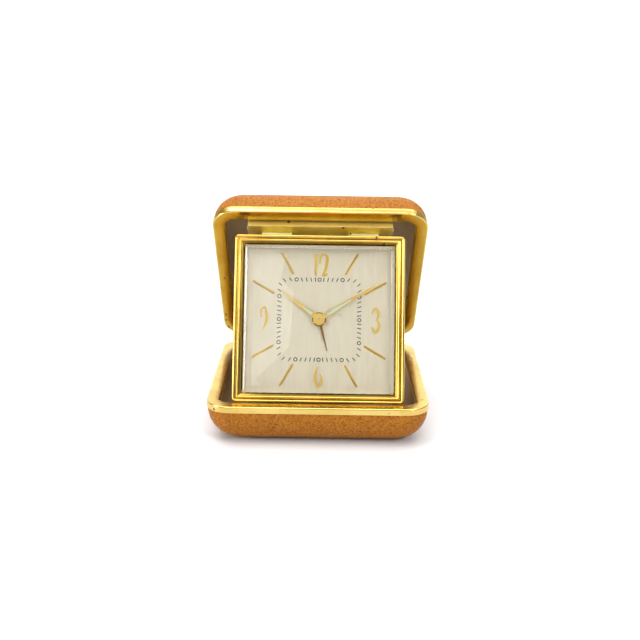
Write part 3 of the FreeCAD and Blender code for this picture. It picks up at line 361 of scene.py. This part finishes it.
# ---------------------------------------------------------------- case rims
def case_rim(half, matrix):
    """Rounded outer band, and inside it a worn flange, its brass darkened with painted shade, that rolls down to a
    short lip.
    """
    band = [(0.5, 11.4), (0.0, 11.4), (0.0, 13.1), (0.05, 13.3), (0.17, 13.44), (0.34, 13.5),
            (0.5, 13.5)]
    flange = [(0.5, 12.9), (0.5, 13.5), (3.8, 13.5), (4.08, 13.46), (4.28, 13.33), (4.38, 13.12),
              (4.4, 12.85), (4.4, 12.2), (3.9, 12.2), (3.9, 12.9)]
    for part, profile, finish in (("band", band, rim_brass), ("flange", flange, painted_shade_flange_brass)):
        verts, faces = frame_sweep(CASE_WIDTH, CASE_DEPTH, CASE_CORNER, profile)
        piece = make_piece(half + "_" + part, verts, faces, finish, half, matrix)
        piece.data.set_sharp_from_angle(angle=math.radians(50))
        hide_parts(half + "_rim")


case_rim("base", BASE)
case_rim("lid", LID)


# ---------------------------------------------------------------- crystal
def crystal_dome():
    """Pillow-topped square crystal: thick bevelled border and a low dome over the middle."""
    top, back, border, vault_rise, rings = 5.5, 2.66, 1.7, 1.0, 18
    profile = [(0.0, back), (0.0, 3.4), (0.12, 3.55), (1.35, top - 1.10),
               (border, top - vault_rise)]
    verts, faces = frame_sweep(CRYSTAL_WIDTH, CRYSTAL_HEIGHT, CRYSTAL_CORNER, profile,
                               closed=False)
    ring = len(rounded_loop(1, 1, 0.1))
    start = len(verts) - ring
    inner = [Vector(v) for v in verts[start:]]
    previous = list(range(start, start + ring))
    half_w, half_h = CRYSTAL_WIDTH / 2 - border, CRYSTAL_HEIGHT / 2 - border
    for k in range(1, rings + 1):
        shrink = 1 - k / (rings + 1)
        row = []
        for v in inner:
            x, y = v.x * shrink, v.y * shrink
            vault = ((x / half_w) ** 8 + (y / half_h) ** 8) ** 0.125
            row.append(len(verts))
            verts.append((x, y, top - vault_rise * vault ** 2))
        for i in range(ring):
            j = (i + 1) % ring
            faces.append((previous[i], previous[j], row[j], row[i]))
        previous = row
    verts.append((0, 0, top))
    for i in range(ring):
        faces.append((previous[i], previous[(i + 1) % ring], len(verts) - 1))
    faces.append(tuple(reversed(range(ring))))
    piece = make_piece("crystal_dome", verts, faces, clear, "clock")
    piece.data.set_sharp_from_angle(angle=math.radians(25))
    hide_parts("crystal")


crystal_dome()


# ---------------------------------------------------------------- bezel
def bezel_frame():
    """Polished frame of two rounded ridges with a sunk line between, and the crystal's seat."""
    profile = [(3.6, 0.0), (0.0, 0.0), (0.0, 3.95), (0.05, 4.25), (0.17, 4.52), (0.34, 4.7),
               (0.55, 4.78), (0.76, 4.73), (0.94, 4.56), (1.05, 4.3), (1.10, 3.9), (1.30, 3.9),
               (1.36, 4.12), (1.48, 4.34), (1.66, 4.5), (1.88, 4.53), (2.08, 4.44), (2.24, 4.24),
               (2.34, 3.95), (2.38, 3.6), (2.8, 3.55), (2.8, 2.6), (3.6, 2.6)]
    verts, faces = frame_sweep(BEZEL_WIDTH, BEZEL_HEIGHT, BEZEL_CORNER, profile)
    piece = make_piece("bezel_frame", verts, faces, bezel_brass, "clock")
    piece.data.set_sharp_from_angle(angle=math.radians(40))
    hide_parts("clock_bezel")


bezel_frame()


# ---------------------------------------------------------------- printed minute track
def minute_track():
    """Printed square track: a ring at every five minutes and four slanting ticks between."""
    half, low, high = 13.05, 0.012, 0.03
    corner_cut, tick_reach, tick_half, ring_radii, steps = 1.86, 0.68, 0.15, (0.40, 0.68), 28
    verts, faces = [], []

    def edge_point(angle, reach):
        c, s = math.cos(angle), math.sin(angle)
        scale = 1 / max(abs(c), abs(s), (abs(c) + abs(s)) / corner_cut)
        return Vector((c, s)) * scale * reach

    for minute in range(60):
        angle = math.radians(90 - 6 * minute)
        middle = edge_point(angle, half)
        if minute % 5 == 0:
            first = len(verts)
            for i in range(steps):
                a = math.tau * i / steps
                for radius in ring_radii:
                    verts.append((middle.x + radius * math.cos(a),
                                  middle.y + radius * math.sin(a), high))
            for i in range(steps):
                j = (i + 1) % steps
                faces.append((first + 2 * i, first + 2 * i + 1, first + 2 * j + 1, first + 2 * j))
            continue
        along = Vector((math.cos(angle), math.sin(angle)))
        across = Vector((-along.y, along.x)) * tick_half
        first = len(verts)
        for end, side in ((-1, -1), (1, -1), (1, 1), (-1, 1)):
            p = middle + along * (end * tick_reach) + across * side
            verts.append((p.x, p.y, high))
        faces.append(tuple(range(first, first + 4)))
    piece = make_piece("minute_track", verts, faces, ink, "clock", smooth=False)
    solid = piece.modifiers.new("solidify", "SOLIDIFY")
    solid.thickness = (high - low) * MM
    solid.offset = -1


minute_track()


# ---------------------------------------------------------------- surroundings
def backdrop():
    """Pale floor that curves up into a wall well behind the object."""
    verts, faces = [], []
    near, far, radius, wall_top, half_width, steps = -2.5, 1.6, 0.8, 3.5, 3.5, 12
    profile = [(near, 0.0), (far, 0.0)]
    for i in range(1, steps + 1):
        a = math.radians(90 * i / steps)
        profile.append((far + radius * math.sin(a), radius - radius * math.cos(a)))
    profile.append((far + radius, wall_top))
    for y, z in profile:
        verts += [(-half_width, y, z), (half_width, y, z)]
    for i in range(len(profile) - 1):
        faces.append((2 * i, 2 * i + 1, 2 * i + 3, 2 * i + 2))
    mesh = bpy.data.meshes.new("backdrop")
    mesh.from_pydata(verts, [], faces)
    sweep = bpy.data.objects.new("backdrop", mesh)
    bpy.context.scene.collection.objects.link(sweep)
    for poly in mesh.polygons:
        poly.use_smooth = True
    shader = Shader("pale_floor", (0.66, 0.66, 0.665), 0.6)
    mesh.materials.append(shader.mat)


backdrop()


def area_light(name, place, aim, size, power):
    """Rectangular lamp at a place in metres, turned towards its aim."""
    data = bpy.data.lights.new(name, "AREA")
    data.shape = "RECTANGLE"
    data.size, data.size_y = size
    data.energy = power
    light = bpy.data.objects.new(name, data)
    bpy.context.scene.collection.objects.link(light)
    light.location = place
    light.rotation_euler = (Vector(aim) - Vector(place)).to_track_quat("-Z", "Y").to_euler()


area_light("ceiling", (0.0, 0.0, 2.4), (0, 0, 0.0), (4.5, 4.5), 50)
area_light("top_soft", (0.0, 0.25, 1.0), (0, 0, 0.0), (1.3, 0.6), 4)
area_light("top_front", (-0.12, -0.26, 1.0), (0, 0, 0.03), (1.0, 0.25), 5.5)
area_light("side_left", (-0.75, -0.24, 0.20), (0, 0, 0.03), (0.3, 0.3), 3.5)
area_light("front_right", (0.8, -0.85, 0.8), (0, 0, 0.03), (0.6, 0.5), 7.5)
area_light("front_left", (-0.32, -1.05, 0.56), (0, 0, 0.03), (0.42, 0.6), 1.6)
area_light("wall_wash", (0, 0.9, 1.6), (0, 2.4, 0.6), (1.5, 0.6), 58)


def studio_world():
    """Soft white room: bright overhead and behind, darker in front, with a glow at the horizon."""
    world = bpy.data.worlds.new("studio")
    world.use_nodes = True
    tree = world.node_tree
    coord = tree.nodes.new("ShaderNodeTexCoord")
    split = tree.nodes.new("ShaderNodeSeparateXYZ")
    tree.links.new(coord.outputs["Generated"], split.inputs[0])
    tops = []
    for axis, low, high in (("Z", 0.0, 0.75), ("Y", -0.55, 0.5)):
        span = tree.nodes.new("ShaderNodeMapRange")
        span.inputs["From Min"].default_value = low
        span.inputs["From Max"].default_value = high
        span.interpolation_type = "SMOOTHSTEP"
        tree.links.new(split.outputs[axis], span.inputs["Value"])
        tops.append(span.outputs["Result"])
    join = tree.nodes.new("ShaderNodeMath")
    join.operation = "MAXIMUM"
    tree.links.new(tops[0], join.inputs[0])
    tree.links.new(tops[1], join.inputs[1])
    level = tree.nodes.new("ShaderNodeMapRange")
    level.inputs["To Min"].default_value = 0.08
    level.inputs["To Max"].default_value = 0.50
    tree.links.new(join.outputs[0], level.inputs["Value"])
    glow = tree.nodes.new("ShaderNodeMapRange")
    glow.interpolation_type = "SMOOTHSTEP"
    for key, value in (("From Min", 0.35), ("From Max", 0.12), ("To Min", 0.0), ("To Max", 0.7)):
        glow.inputs[key].default_value = value
    tree.links.new(split.outputs["Z"], glow.inputs["Value"])
    total = tree.nodes.new("ShaderNodeMath")
    total.operation = "MAXIMUM"
    tree.links.new(level.outputs["Result"], total.inputs[0])
    tree.links.new(glow.outputs["Result"], total.inputs[1])
    tree.links.new(total.outputs[0], tree.nodes["Background"].inputs["Strength"])
    tree.nodes["Background"].inputs["Color"].default_value = (1.0, 1.0, 1.0, 1)
    bpy.context.scene.world = world


studio_world()
bpy.context.scene.view_settings.view_transform = "Standard"

# ---------------------------------------------------------------- camera
camera_data = bpy.data.cameras.new("view")
camera_data.lens = 57.58
camera_data.sensor_width = 36
camera_data.clip_start = 0.01
camera = bpy.data.objects.new("view", camera_data)
bpy.context.scene.collection.objects.link(camera)
pitch, yaw, roll = math.radians(16.18), math.radians(0.0673), math.radians(0.808)
camera_place = (0.00069, -0.33939, 0.13079)
camera.matrix_world = (
    Matrix.Translation(camera_place)
    @ Matrix.Rotation(yaw, 4, "Z") @ Matrix.Rotation(math.pi / 2 - pitch, 4, "X")
    @ Matrix.Rotation(roll, 4, "Z"))
bpy.context.scene.camera = camera
